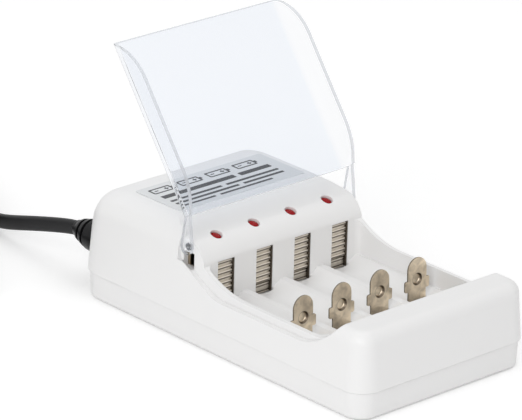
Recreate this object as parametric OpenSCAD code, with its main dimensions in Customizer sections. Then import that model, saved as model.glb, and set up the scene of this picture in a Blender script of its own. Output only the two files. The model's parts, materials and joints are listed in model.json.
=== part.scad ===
// Four-lane AA / AAA battery charger with a hinged clear lid and a mains lead.
// Origin: bottom centre of the housing. +X runs across the lanes, -Y is the nose, +Z is up.

/* [Housing] */
// Distance between neighbouring battery lanes
lane_pitch = 16; // [15.5:0.1:18]
// Length of the raised nose in front of the bay
nose_len = 20; // [18:0.5:26]
// Length of the open battery bay
bay_len = 53.5; // [52:0.5:60]
// Length of the tall block behind the bay
block_len = 58.5; // [54:0.5:70]
// Depth of the lower tray, up to the parting line
part_z = 9; // [8.5:0.1:14]
// Height of the block above the parting line
block_h = 28; // [26.5:0.1:32]
// Height of the nose above the parting line
nose_h = 18.7; // [18.2:0.1:19.6]
// Height of the bay's side rims above the parting line
rim_h = 11.7; // [11:0.1:12.5]
// Wall thickness of the two shells
wall = 2; // [1.6:0.1:2.4]
// Corner radius of the block's end in plan
corner_r = 10.4; // [10.1:0.1:12]
// Corner radius of the nose's end in plan
nose_corner_r = 7.5; // [7:0.1:9]
// Draft angle of the upper shell's sides
cover_draft = 4.5; // [2:0.1:5]
// Draft angle of the tray's sides
tray_draft = 2; // [0:0.1:4]
// Rolled edge along the top of the block
block_roll = 8.4; // [5:0.1:8.6]
// Rolled edge along the top of the nose
nose_roll = 4; // [3:0.1:5]
// Small rounding along the bottom of the tray
tray_roll = 1.2; // [0.6:0.1:2]
// Step of the tray inside the upper shell at the parting line
parting_step = 0.7; // [0.3:0.1:1]

/* [Battery bay] */
// Thickness of the bay floor under a lane
floor_t = 2.6; // [2:0.1:3.2]
// Radius of a lane's cradle
cradle_r = 9.5; // [8:0.1:12]
// Height of the ridges between the lanes
ridge_h = 2.8; // [1:0.1:3]
// Thickness of the thin rim between the bay and the lid's seat
rim_wall = 1.4; // [1.2:0.1:2]
// Width of the seat outside the rim, up to the housing's side
seat_w = 2.8; // [2.6:0.1:4]
// Depth of the seat below the rim
seat_drop = 2.4; // [2:0.1:3]
// Radius of the sweep from the rim up to the block
rim_sweep_r = 33; // [30:0.5:38]
// Radius of the bay's front corners in plan
bay_corner_r = 5; // [2:0.1:8]
// Radius of the bay's rear corners in plan
bay_rear_r = 2; // [1:0.1:2.5]
// Width of a contact slot in the bay's rear wall
wall_slot_w = 6.9; // [6.4:0.1:8]
// Height of a contact slot's top above the parting line
wall_slot_top = 17.7; // [15:0.1:17.8]

/* [Indicator panel] */
// Radius of the rounding between the lamp panel and the bay wall
panel_r = 10; // [9.5:0.1:11]
// Distance from the bay wall back to the panel's upper edge
panel_run = 18.5; // [17.5:0.1:19]
// Flat length of the lamp panel, measured level
panel_flat = 12.8; // [12.5:0.1:13.5]
// Slope of the lamp panel
panel_slope = 16.5; // [15:0.5:17]
// Angle from upright of the lamps and of the rounding's upper end
lamp_tilt = 22; // [20:0.5:25]
// Distance between neighbouring lamps
lamp_pitch = 15.5; // [12:0.1:17]
// Diameter of a lamp's hole
lamp_hole_d = 3.9; // [3.8:0.1:4.4]
// Diameter of a lamp's lens
lamp_d = 3.6; // [3:0.1:3.7]
// How far a lamp's tip lies below the panel
lamp_sink = 0.4; // [0.2:0.1:1]

/* [Lid] */
// Wall thickness of the clear lid
lid_t = 1.3; // [1:0.1:1.5]
// Outer radius of the bend between the lid's panel and its sides
lid_bend_r = 3; // [2:0.1:4]
// Angle that the open lid has swung from its seat
lid_open = 126.6; // [0:0.1:127]
// Height of the hinge axis above the nose
hinge_rise = 3.5; // [3:0.1:4]
// Distance of the hinge axis behind the bay wall
hinge_back = 7; // [6.5:0.1:7.4]
// Radius of a lid arm's round end
arm_r = 2.4; // [2.2:0.1:2.6]
// Radius of a hinge peg
peg_r = 1.2; // [1:0.05:1.5]
// Gap between the lid and its seat
lid_gap = 0.25; // [0.2:0.05:0.4]
// Running clearance of a hinge peg in its bore
peg_gap = 0.05; // [0.02:0.01:0.1]

/* [Contacts] */
// Sheet thickness of the contacts
sheet_t = 0.5; // [0.3:0.05:0.7]
// Distance from the bay wall forward to a resting sliding contact
contact_reach = 35.1; // [33:0.1:35.5]
// Travel of a sliding contact towards the nose
contact_travel = 16.5; // [14:0.1:16.7]
// Angle that a sliding contact leans towards the nose
contact_lean = -2; // [-4:0.5:4]
// Width of a sliding contact's rounded tongue
tongue_w = 7.9; // [7.5:0.1:9]
// Width of a sliding contact's stem
stem_w = 7.4; // [7:0.1:8.2]
// Width over a sliding contact's ears
ear_w = 10.4; // [10:0.1:12]
// Height of the ears' lower edge above the parting line
ear_z = 6.5; // [6:0.1:7.5]
// Height of the ears
ear_h = 3.6; // [2:0.1:4]
// Height of a tongue's tip above the parting line
tongue_top = 17.2; // [16:0.1:17.3]
// Height of a tongue's pressed dimple above the parting line
dimple_z = 10.1; // [9.5:0.1:11]
// Radius of a tongue's pressed dimple
dimple_r = 2; // [1.6:0.1:2.3]
// Depth of a tongue's pressed dimple
dimple_deep = 0.9; // [0.6:0.1:1.2]
// Length of a sliding contact's foot
foot_len = 10; // [6:0.5:14]
// Width of the pressed pad of a fixed contact
pad_w = 6.1; // [5:0.1:6.2]
// How far a fixed contact's pad lies behind the bay wall's face
pad_recess = 1; // [0.8:0.1:1.2]
// Distance between neighbouring ribs of a fixed contact
rib_pitch = 1.75; // [1.5:0.05:1.8]
// Radius of a fixed contact's ribs
rib_r = 0.6; // [0.3:0.05:0.7]
// Wire diameter of a return spring
spring_wire = 0.5; // [0.4:0.05:0.6]
// Mean radius of a return spring
spring_r = 2; // [1.8:0.05:2.2]
// Turns of a return spring
spring_turns = 8; // [6:1:9]
// Gap around sliding pieces
slide_gap = 0.2; // [0.1:0.05:0.3]

/* [Inside] */
// Thickness of the circuit board
board_t = 1.6; // [1:0.1:2]
// Distance of the circuit board behind the bay wall's face
board_back = 4.1; // [3.8:0.1:4.4]
// Width of the transformer's laminated core
core_w = 35; // [28:0.5:40]
// Height of the transformer's laminated core
core_h = 29.5; // [24:0.5:31]
// Stack depth of the transformer's laminated core
core_stack = 12.5; // [8:0.5:14]
// Width of the core's centre leg, twice that of its outer legs
core_leg = 10; // [8:0.5:11]
// Diameter of the housing screws
screw_d = 2.8; // [2.2:0.1:3]
// Length of the housing screws under the head
screw_len = 12; // [9:0.5:14]

/* [Label] */
// Width of the plain label on the block
label_w = 52.4; // [30:0.2:56]
// Length of the plain label on the block
label_len = 21.5; // [12:0.5:24]
// Distance from the lamp panel's upper edge to the label
label_gap = 1; // [0.5:0.1:4]
// Thickness of the label
label_t = 0.2; // [0.1:0.05:0.3]

/* [Mains lead] */
// Width of the flat twin cord
cord_w = 5; // [4.6:0.1:5.2]
// Thickness of the flat twin cord
cord_t = 3; // [2.6:0.1:3.2]
// Sideways place of the lead's outlet
outlet_x = -25; // [-26:0.5:-22]
// Height of the lead's outlet
outlet_z = 15.4; // [15:0.1:18]
// Radius of the outlet hole
outlet_r = 3.4; // [3:0.1:4]
// Radius of the strain relief's flange
relief_flange_r = 5.5; // [4.6:0.1:5.7]
// Mean radius of the stored coil
coil_r = 27; // [27:0.5:28]
// Width of the blades' spacing
blade_pitch = 12.7; // [12:0.1:13]

/* [Hidden] */
$fn = 64;
lanes = 4;
eps = 0.01;
tuck = 0.02;
over = 1;
crest_back = 7.8;
slope_run = 11.8;
sweep_run = 18.5;
panel_steps = 10;

// Lengths along Y
body_len = nose_len + bay_len + block_len;
front_y = -body_len / 2;
back_y = body_len / 2;
bay_front_y = front_y + nose_len;
wall_y = bay_front_y + bay_len;
panel_y = wall_y + panel_run;
crest_y = bay_front_y - crest_back;
split_y = (bay_front_y + wall_y) / 2;

// Heights
body_h = part_z + block_h;
nose_z = part_z + nose_h;
rim_z = part_z + rim_h;
floor_z = part_z + floor_t;
ridge_z = floor_z + ridge_h;
seat_z = rim_z - seat_drop;

// Lower end of the lamp panel's flat, and centre of the rounding below it
panel_end = [panel_y - panel_flat, body_h - panel_flat * tan(panel_slope)];
panel_c = panel_end + panel_r * [sin(lamp_tilt), -cos(lamp_tilt)];

// Widths along X
bay_trim = 0.2;
bay_half = lanes * lane_pitch / 2 - bay_trim;
seat_half = bay_half + rim_wall;
body_half = seat_half + seat_w;
lane_x = [for (i = [0 : lanes - 1]) (i - (lanes - 1) / 2) * lane_pitch];
lamp_x = [for (i = [0 : lanes - 1]) (i - (lanes - 1) / 2) * lamp_pitch];

// The nose's rear slope: an arc that starts flat on the rim and ends at the crest
slope_start_y = crest_y + slope_run;
slope_rise = nose_z - rim_z;
slope_r = (slope_run * slope_run + slope_rise * slope_rise) / (2 * slope_rise);

// The sweep from the rim to the block
sweep_y = wall_y - sweep_run;

// The lid's seat: flat, then a bend into a straight ramp beside the block
ramp_angle = 27;
ramp_r = 16;
ramp_steps = 9;
ramp_before = 10.5;
ramp_past = 8.5;
notch_gap = 1.4;
ramp_y = wall_y - ramp_before;
ramp_end_y = wall_y + ramp_past;
notch_back_y = wall_y + hinge_back + arm_r + notch_gap;

// The lid in its closed place
lid_in = seat_half + lid_gap;
lid_out = lid_in + lid_t;
lid_over = 0.1;
lid_under = 0.3;
lid_short = 1.4;
lid_run = 15.4;
lid_lip = 0.2;
lid_top = nose_z + lid_over;
lid_low = seat_z + lid_under;
lid_rear_y = wall_y - lid_short;
lid_front_y = crest_y + lid_short;
lid_turn_y = lid_front_y + lid_run;
lid_rise = lid_top - lid_lip - lid_low;
lid_front_r = (lid_run * lid_run + lid_rise * lid_rise) / (2 * lid_rise);
lid_bend_before = 14.5;
lid_bend_y = wall_y - lid_bend_before;
lid_ramp_r = 20;
lid_ramp = 32;
lid_rear_low = [lid_rear_y, lid_low + lid_ramp_r * (1 - cos(lid_ramp))
    + (lid_rear_y - lid_bend_y - lid_ramp_r * sin(lid_ramp)) * tan(lid_ramp)];
hinge_y = wall_y + hinge_back;
hinge_z = nose_z + hinge_rise;
peg_short = 0.1;
peg_in = bay_half + peg_short;
window_half = 2.4;
window_up = 15.2;
window_bar = 0.6;
window_low = part_z + window_up;
window_high = hinge_z - peg_r - peg_gap - window_bar;

// Screws and their posts
screw_in = 4.4;
screw_front = 9;
screw_back = 23.5;
screw_x = bay_half - screw_in;
screw_front_y = front_y + screw_front;
screw_back_y = wall_y + screw_back;
screw_at = [for (sx = [-1, 1], y = [screw_front_y, screw_back_y]) [sx * screw_x, y]];
post_r = 3.5;
post_sunk = 0.2;
head_r = 2.8;
head_h = 2;
head_seat = 4;
cross_half = 1.6;
cross_t = 0.6;
cross_deep = 0.8;
sink_r = 3.1;
sink_post_r = 4.5;
screw_bore_r = screw_d / 2 + 0.05;

// Sliding contacts and their springs
stem_y = wall_y - contact_reach;
bend_up = 1;
bend_z = part_z + bend_up;
foot_z = wall + slide_gap;
guide_w = 2.4;
guide_h = 4;
foot_w = lane_pitch - guide_w - 2 * slide_gap;
floor_slot_w = stem_w + 2 * slide_gap + 0.1;
floor_slot_front = stem_y - sheet_t - contact_travel - 2 * slide_gap;
floor_slot_back = stem_y + slide_gap / 2;
spring_up = 3.6;
spring_z = wall + spring_up;
spring_clear = 0.9;
spring_seat_y = screw_front_y + sink_post_r + spring_clear;
spring_wall_t = 1.5;
spring_gap = 0.1;
spring_back_y = stem_y - sheet_t - spring_gap;
spring_steps = 12;
wire_sides = 6;

// Fixed contacts
pad_y = wall_y + pad_recess;
plate_y = wall_y + wall;
plate_w = 9.6;
pad_left = -wall_slot_w / 2 + 0.2;
rib_count = 7;
tab_w = 3;
tab_up = 8;
side_t = 0.35;
side_gap = 0.1;
slot_top_z = part_z + wall_slot_top;
slot_up = 1.5;
pad_up = 5.5;
slot_low_z = part_z + slot_up;
pad_low = part_z + pad_up;
first_rib = pad_low + rib_r + 0.1;

// Board, lamps and axial components
board_y = wall_y + board_back;
board_side = 0.9;
board_half = bay_half - board_side;
board_up = 18.2;
board_top = part_z + board_up;
lamp_len = 5;
lamp_rim = 0.4;
lamp_rim_h = 1;
lamp_flange_r = lamp_d / 2 + lamp_rim;
lamp_lead_x = 0.9;
lamp_lead_len = 2;
lamp_lead_bend = 1.8;
lead_w = 0.5;
axial_gap = 0.5;
axial_lead_d = 0.8;
diode_up = 2;
diode_d = 2.7;
diode_len = 5.2;
diode_span = 10;
resistor_up = 10;
resistor_d = 3.5;
resistor_len = 9;
resistor_span = 13;

// Supply tags
tag_side = 0.6;
tag_up = 12;
tag_tall = 7.6;
tag_out = bay_half - tag_side;
tag_low = part_z + tag_up;
tag_high = tag_low + tag_tall;
tag_link = 3;
tag_foot = 4;
tag_reach = 3.8;
tag_w = 2.2;

// Transformer
core_back = 28;
core_y = back_y - core_back;
core_window_w = (core_w - 2 * core_leg) / 2;
core_window_h = core_h - core_leg;
winding_gap = 0.2;
winding_r = 2;

// Strain relief: seat, and outline points of its bell as [radius, distance from the seat]
relief_sunk = 1.1;
relief_seat_y = back_y - relief_sunk;
relief_in = 7.5;
lip_wide = 0.8;
lip_t = 1.3;
bell = [[5.2, 5], [3.7, 10.2], [2.9, 11.4], [2.6, 12.6]];

// Cord routes and the stored coil
cord_side = 8;
cord_route = [
    [-25, 76, 15.4], [-25, 81, 14.6], [-25, 87, 13.2], [-25, 94, 11.35], [-25, 101, 9.4],
    [-24.9, 108, 7.35], [-24.4, 115, 5.35], [-23.2, 122, 3.7], [-21.2, 129, 2.8], [-18.6, 136, 2.7],
    [-15.8, 142, 3], [-13.6, 146.7, 3.35], [-12.6, 151, 3.35]
];
lead_route = [
    [-76.5, 152, 8.5], [-76.3, 146, 8.4], [-75.2, 140, 8],
    [-73.6, 134, 7.4], [-72.4, 129, 7.1], [-72, 124, 7]
];
coil_at = [-44.5, 155];
coil_z = 0.8;
coil_h = 10.3;
coil_wide = 13.3;
coil_round = 1.5;
tie_t = 0.6;
tie_len = 8;
tie_gap = 0.1;
tie_sag = 0.4;
plug_at = [-72, 124, 7];
plug_len = 32;
plug_w = 22;
plug_h = 14;
blade_w = 6.35;
blade_t = 1.5;
blade_len = 17;
blade_hole_d = 3;
blade_hole_in = 4;

function unit(v) = v / norm(v);

// Points on an arc round c, from angle a0 to a1
function arc(c, r, a0, a1, steps) =
    [for (i = [0 : steps]) let (a = a0 + (a1 - a0) * i / steps) c + r * [cos(a), sin(a)]];

// Direction of a route at point i
function heading(path, i) = unit(path[min(i + 1, len(path) - 1)] - path[max(i - 1, 0)]);

// One oval ring round a route's point: half sizes across and along the up direction
function ring(p, t, up, across, along, sides) =
    let (s = unit(cross(t, up)), n = cross(s, t))
    [for (k = [0 : sides - 1]) let (a = 360 * k / sides) p + across * cos(a) * s + along * sin(a) * n];

// Helix along +Y from y0 to y1
function helix(y0, y1, r, turns, steps) =
    [for (i = [0 : turns * steps]) let (a = 360 * i / steps)
        [r * cos(a), y0 + (y1 - y0) * i / (turns * steps), r * sin(a)]];

// Touching point of the line from p to a circle at c, on its left-hand side
function touch(p, c, r) =
    let (d = c - p, a = atan2(d[1], d[0]) + asin(r / norm(d)))
    c + r * [-sin(a), cos(a)];

// A tube swept along a route
module swept_tube(path, up, across, along, sides) {
    n = len(path);
    points = [for (i = [0 : n - 1]) each ring(path[i], heading(path, i), up, across, along, sides)];
    walls = [for (i = [0 : n - 2], k = [0 : sides - 1])
        let (a = i * sides, b = a + sides, m = (k + 1) % sides)
        each [[a + k, a + m, b + m], [a + k, b + m, b + k]]];
    start = [for (k = [0 : sides - 1]) sides - 1 - k];
    end = [for (k = [0 : sides - 1]) (n - 1) * sides + k];
    polyhedron(points, concat([start], walls, [end]), convexity = 6);
}

// Extrude a (y, z) outline across X
module across_x(x0, x1) {
    translate([x0, 0, 0]) rotate([90, 0, 90]) linear_extrude(x1 - x0) children();
}

// Extrude an (x, z) outline along Y
module along_y(y0, y1) {
    translate([0, y1, 0]) rotate([90, 0, 0]) linear_extrude(y1 - y0) children();
}

// A box given by its two corners
module span(a, b) {
    translate(a) cube(b - a);
}

// Outline from a corner's centre outwards: drafted side with a rolled top edge
module edge_outline(r, h, draft, roll) {
    c = [r - (roll + (h - roll) * sin(draft)) / cos(draft), h - roll];
    side = c + (roll - tuck) * [cos(draft), sin(draft)];
    polygon([[0, 0], [r, 0], side, c, [c[0], h], [0, h]]);
    intersection() {
        translate(c) circle(roll);
        square([r, h]);
    }
}

// Half of a drafted box with two round corners, from y = 0 to y = length
module end_form(half, length, h, r, draft, roll) {
    along_y(0, length - r) {
        for (m = [0, 1]) mirror([m, 0]) translate([half - r, 0]) edge_outline(r, h, draft, roll);
        translate([r - half, 0]) square([2 * (half - r), h]);
    }
    across_x(r - half, half - r) translate([length - r, 0]) edge_outline(r, h, draft, roll);
    translate([half - r, length - r, 0]) rotate_extrude(angle = 90) edge_outline(r, h, draft, roll);
    translate([r - half, length - r, 0]) rotate([0, 0, 90]) rotate_extrude(angle = 90)
        edge_outline(r, h, draft, roll);
}

// The tray's form, wide at the parting line and narrow at the bottom
module tray_form(inset, top, bottom, roll) {
    step = parting_step + inset;
    translate([0, 0, top]) mirror([0, 0, 1]) for (m = [0, 1]) mirror([0, m, 0])
        end_form(body_half - step, back_y - step, top - bottom, (m == 0 ? corner_r : nose_corner_r) - step,
            tray_draft, roll);
}

// The upper shell's form: tall at the block's end, low at the nose's end
module cover_form(inset, z0) {
    translate([0, split_y, z0])
        end_form(body_half - inset, back_y - split_y - inset, body_h - inset - z0, corner_r - inset,
            cover_draft, block_roll - inset);
    translate([0, split_y, z0]) mirror([0, 1, 0])
        end_form(body_half - inset, split_y - front_y - inset, nose_z - inset - z0, nose_corner_r - inset,
            cover_draft, nose_roll - inset / 2);
}

// Side outline of the block: flat top, sloping lamp panel and rounding into the bay wall
module block_outline(inset, z0) {
    r = panel_r - inset;
    front = wall_y + inset;
    edge = panel_y + inset * (1 - cos(panel_slope)) / sin(panel_slope);
    low = acos((panel_c[0] - front) / r);
    polygon(concat([[front, z0]], arc(panel_c, r, 180 - low, 90 + panel_slope, panel_steps), [
        [edge, body_h - inset], [back_y + over, body_h - inset], [back_y + over, z0]
    ]));
}

// Side outline of the open air in front of the block and over the rims, up to the nose's crest
module air_outline() {
    high = body_h + over;
    translate([slope_start_y, rim_z]) square([sweep_y - slope_start_y, high - rim_z]);
    intersection() {
        translate([sweep_y, rim_z + rim_sweep_r]) circle(rim_sweep_r, $fn = 180);
        translate([sweep_y - eps, rim_z]) square([wall_y - sweep_y + eps, high - rim_z]);
    }
    intersection() {
        translate([slope_start_y, rim_z + slope_r]) circle(slope_r, $fn = 180);
        translate([crest_y - 3, rim_z]) square([slope_run + 3 + eps, slope_rise + over]);
    }
    slope = tan(panel_slope);
    polygon([
        [wall_y - eps, body_h - (panel_run + eps) * slope], [panel_y, body_h], [panel_y, high],
        [wall_y - eps, high]
    ]);
}

// Side outline of the open air before the rounding under the lamp panel
module rounding_outline() {
    low = acos((panel_c[0] - wall_y) / panel_r);
    curve = arc(panel_c, panel_r, 180 - low, 90 + lamp_tilt, panel_steps);
    first = 2 * curve[0] - curve[1];
    last = 2 * curve[panel_steps] - curve[panel_steps - 1];
    polygon(concat([first], curve, [last, [last[0], body_h + over], [first[0], body_h + over]]));
}

// Plan of the battery bay
module bay_plan() {
    translate([-bay_half, bay_front_y + bay_corner_r])
        square([2 * bay_half, bay_len - bay_corner_r - bay_rear_r]);
    translate([bay_corner_r - bay_half, bay_front_y])
        square([2 * (bay_half - bay_corner_r), bay_len]);
    translate([bay_rear_r - bay_half, split_y])
        square([2 * (bay_half - bay_rear_r), wall_y - split_y]);
    for (s = [-1, 1]) {
        translate([s * (bay_half - bay_corner_r), bay_front_y + bay_corner_r]) circle(bay_corner_r);
        translate([s * (bay_half - bay_rear_r), wall_y - bay_rear_r]) circle(bay_rear_r);
    }
}

// Side outline of the lid's seat, cut into the shell's flanks
module seat_outline() {
    bend = [for (i = [0 : ramp_steps]) let (a = ramp_angle * i / ramp_steps)
        [ramp_y + ramp_r * sin(a), seat_z + ramp_r * (1 - cos(a))]];
    ramp_top = bend[ramp_steps][1] + (ramp_end_y - bend[ramp_steps][0]) * tan(ramp_angle);
    front_r = lid_front_r + 0.3;
    polygon(concat([[lid_turn_y, seat_z]], bend, [
        [ramp_end_y, ramp_top], [notch_back_y, ramp_top], [notch_back_y, body_h + over],
        [lid_turn_y, body_h + over]
    ]));
    intersection() {
        translate([lid_turn_y, lid_low + lid_front_r]) circle(front_r, $fn = 180);
        translate([lid_turn_y - front_r, seat_z - over])
            square([front_r + eps, nose_z - seat_z + 2 * over]);
    }
}

// Hollow inside of the block
module block_cavity() {
    difference() {
        intersection() {
            cover_form(wall, part_z - over);
            across_x(-body_half, body_half) block_outline(wall, part_z - 2 * over);
        }
        for (s = [-1, 1]) span(
            [s > 0 ? bay_half - 0.4 : -body_half, wall_y, 0],
            [s > 0 ? body_half : 0.4 - bay_half, notch_back_y + wall, body_h]
        );
    }
}

// Hollow inside of the nose
module nose_cavity() {
    intersection() {
        cover_form(wall, part_z - over);
        across_x(-body_half, body_half) difference() {
            translate([front_y, part_z - 2 * over])
                square([nose_len - wall, nose_z - wall - part_z + 2 * over]);
            translate([slope_start_y, rim_z + slope_r]) circle(slope_r + wall, $fn = 180);
        }
    }
}

// Place children on the lamp panel's curve at one lamp, pointing out of the panel
module at_lamp(x) {
    translate([x, panel_c[0], panel_c[1]]) rotate([lamp_tilt, 0, 0]) children();
}

// Place children on the outlet's axis, pointing backwards
module at_outlet() {
    translate([outlet_x, relief_seat_y, outlet_z]) rotate([-90, 0, 0]) children();
}

// Lower half of the housing, with guides for the sliding contacts
module base_tray() {
    color("whitesmoke") difference() {
        union() {
            difference() {
                tray_form(0, part_z, 0, tray_roll);
                tray_form(wall, part_z + over, wall, tray_roll);
            }
            for (p = screw_at) translate([p[0], p[1], over]) cylinder(r = sink_post_r, h = part_z - over);
            for (i = [0 : lanes]) translate([(i - lanes / 2) * lane_pitch - guide_w / 2, 0, over])
                span([0, spring_seat_y - over, 0], [guide_w, stem_y + foot_len + 4, guide_h + wall - over]);
            span(
                [-bay_half - over, spring_seat_y - spring_wall_t, over],
                [bay_half + over, spring_seat_y, part_z - 0.4]
            );
            for (x = lane_x) translate([x, spring_seat_y - eps, spring_z]) rotate([-90, 0, 0])
                cylinder(r = spring_r - spring_wire / 2 - 0.35, h = 4);
        }
        for (p = screw_at) translate([p[0], p[1], 0]) {
            translate([0, 0, -over]) cylinder(r = sink_r, h = head_seat + over);
            cylinder(r = screw_bore_r, h = part_z + over);
        }
    }
}

// Upper half of the housing: block, lamp panel, bay, lid seat and nose in one moulding
module top_cover() {
    color("white") difference() {
        union() {
            difference() {
                cover_form(0, part_z);
                block_cavity();
                nose_cavity();
            }
            for (p = screw_at) translate([p[0], p[1], part_z])
                cylinder(r = post_r, h = (p[1] < 0 ? nose_h : block_h) - wall + post_sunk);
        }
        across_x(-body_half - over, body_half + over) air_outline();
        across_x(-seat_half - eps, seat_half + eps) rounding_outline();
        bay_space();
        for (s = [-1, 1]) hinge_side_cuts(s);
        for (x = lamp_x) at_lamp(x) rotate(45) translate([0, 0, panel_r - wall - over])
            cylinder(d = lamp_hole_d, h = wall + 2 * over);
        for (p = screw_at) translate([p[0], p[1], part_z - over])
            cylinder(r = screw_bore_r, h = screw_len - part_z + head_seat + 2 * over);
        at_outlet() {
            cylinder(r = relief_flange_r + 0.2, h = 10);
            translate([0, 0, -10]) cylinder(r = outlet_r + 0.05, h = 20);
        }
    }
}

// The open bay with its cradles, wall slots and floor slots
module bay_space() {
    translate([0, 0, ridge_z]) linear_extrude(body_h) bay_plan();
    for (x = lane_x) {
        intersection() {
            translate([x, wall_y, floor_z + cradle_r]) rotate([90, 0, 0])
                cylinder(r = cradle_r, h = bay_len);
            translate([0, 0, floor_z - over]) linear_extrude(body_h) bay_plan();
        }
        translate([x, 0, 0]) {
            span(
                [-wall_slot_w / 2, wall_y - over, slot_low_z],
                [wall_slot_w / 2, plate_y + over, slot_top_z]
            );
            span([-floor_slot_w / 2, floor_slot_front, 0], [floor_slot_w / 2, floor_slot_back, rim_z]);
        }
    }
}

// Lid seat, hinge bore and wiring window on one flank
module hinge_side_cuts(side) {
    mirror([side < 0 ? 1 : 0, 0, 0]) {
        across_x(seat_half, body_half + over) seat_outline();
        translate([bay_half - over, hinge_y, hinge_z]) rotate([0, 90, 0])
            cylinder(r = peg_r + peg_gap, h = rim_wall + 2 * over);
        span(
            [bay_half - over, hinge_y - window_half, window_low],
            [seat_half + over, hinge_y + window_half, window_high]
        );
    }
}

// Cross-section of the lid: a shallow channel with bent edges
module lid_section(inset) {
    r = lid_bend_r - inset;
    half = lid_out - inset;
    high = lid_top - inset;
    translate([-half, 0]) square([2 * half, high - r]);
    translate([r - half, 0]) square([2 * (half - r), high]);
    for (s = [-1, 1]) translate([s * (half - r), high - r]) circle(r);
}

// Side outline of the lid's flanges
module lid_outline() {
    c = [lid_bend_y, lid_low + lid_ramp_r];
    bend = c + (lid_ramp_r - tuck) * [sin(lid_ramp), -cos(lid_ramp)];
    translate([lid_turn_y, lid_low]) square([lid_bend_y - lid_turn_y, lid_top - lid_low]);
    intersection() {
        translate([lid_turn_y, lid_low + lid_front_r]) circle(lid_front_r, $fn = 180);
        translate([lid_front_y, lid_low]) square([lid_run + eps, lid_top - lid_low]);
    }
    intersection() {
        translate(c) circle(lid_ramp_r, $fn = 180);
        translate([lid_bend_y - eps, lid_low]) square([bend[0] - lid_bend_y + over, lid_top - lid_low]);
    }
    polygon([bend, lid_rear_low, [lid_rear_y, lid_top], [bend[0], lid_top]]);
}

// Side outline of a lid arm, from inside the flange to its round end on the hinge axis
module arm_outline() {
    c = [hinge_y, hinge_z];
    low = c + (arm_r - tuck) * [sin(lid_ramp), -cos(lid_ramp)];
    start = [lid_rear_y - over, lid_top - lid_bend_r];
    translate(c) circle(arm_r);
    polygon([[start[0], lid_rear_low[1]], low, c, touch(start, c, arm_r - tuck), start]);
}

// The lid in its closed place
module closed_lid() {
    intersection() {
        along_y(lid_front_y, lid_rear_y) difference() {
            lid_section(0);
            lid_section(lid_t);
        }
        across_x(-body_half, body_half) lid_outline();
    }
    for (m = [0, 1]) mirror([m, 0, 0]) {
        across_x(lid_in, lid_out) arm_outline();
        translate([peg_in, hinge_y, hinge_z]) rotate([0, 90, 0]) cylinder(r = peg_r, h = lid_out - peg_in);
    }
}

// Clear lid, swung open about its pegs
module clear_lid() {
    color("lightcyan", 0.4) translate([0, hinge_y, hinge_z]) rotate([-lid_open, 0, 0])
        translate([0, -hinge_y, -hinge_z]) closed_lid();
}

// Fixed contact behind the bay wall: plate, pressed pad with ribs, lip, bent side and board tab
module ribbed_contact(x) {
    color("tan") translate([x, 0, 0]) {
        span([-plate_w / 2, plate_y, slot_low_z + 0.2], [plate_w / 2, plate_y + sheet_t, slot_top_z - 0.6]);
        span([pad_left, pad_y, pad_low], [pad_left + pad_w, plate_y + eps, slot_top_z - 0.3]);
        span([pad_left, pad_y, slot_low_z + 0.6], [pad_left + pad_w, plate_y + eps, pad_low - 0.4]);
        for (i = [0 : rib_count - 1])
            translate([pad_left, pad_y, first_rib + i * rib_pitch]) rotate([0, 90, 0])
                cylinder(r = rib_r, h = pad_w, $fn = 24);
        span(
            [wall_slot_w / 2 - side_gap - side_t, wall_y + side_gap, slot_low_z + 0.6],
            [wall_slot_w / 2 - side_gap, plate_y + eps, slot_top_z - 0.3]
        );
        span([-tab_w / 2, plate_y, part_z + tab_up], [tab_w / 2, board_y, part_z + tab_up + sheet_t]);
    }
}

// Outline of a sliding contact's tongue above its bend
module tongue_outline() {
    up = 1 / cos(contact_lean);
    base = (ear_z - bend_z + part_z) * up;
    tip = (tongue_top - bend_z + part_z) * up;
    soft = 0.6;
    translate([-stem_w / 2, 0]) square([stem_w, base + over]);
    translate([-ear_w / 2, base + soft]) square([ear_w, ear_h - 2 * soft]);
    translate([soft - ear_w / 2, base]) square([ear_w - 2 * soft, ear_h]);
    for (sx = [-1, 1], z = [base + soft, base + ear_h - soft]) translate([sx * (ear_w / 2 - soft), z])
        circle(soft, $fn = 24);
    translate([-tongue_w / 2, base]) square([tongue_w, tip - tongue_w / 2 - base]);
    translate([0, tip - tongue_w / 2]) circle(tongue_w / 2);
}

// Sliding contact: foot in the tray's guides, stem through the floor, leaning tongue with a dimple
module sliding_contact(x) {
    dimple_up = (dimple_z - bend_z + part_z) / cos(contact_lean);
    bottom_r = dimple_r - 0.6;
    half_t = sheet_t / 2;
    color("silver") translate([x, stem_y, 0]) {
        span([-foot_w / 2, -sheet_t, foot_z], [foot_w / 2, foot_len, foot_z + sheet_t]);
        span([-stem_w / 2, -sheet_t, foot_z], [stem_w / 2, 0, bend_z + eps]);
        translate([0, 0, bend_z]) rotate([contact_lean, 0, 0]) difference() {
            union() {
                along_y(-sheet_t, 0) tongue_outline();
                translate([0, -half_t, dimple_up]) rotate([-90, 0, 0])
                    cylinder(r1 = dimple_r + half_t, r2 = bottom_r + half_t, h = dimple_deep + half_t);
            }
            translate([0, -sheet_t - eps, dimple_up]) rotate([-90, 0, 0])
                cylinder(r1 = dimple_r, r2 = bottom_r, h = dimple_deep);
        }
    }
}

// Return spring of one sliding contact
module contact_spring(x) {
    wire = spring_wire / 2;
    color("gray") translate([x, 0, spring_z])
        swept_tube(
            helix(spring_seat_y + wire + 0.05, spring_back_y - wire, spring_r, spring_turns, spring_steps),
            [0, 1, 0], wire, wire, wire_sides
        );
}

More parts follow.
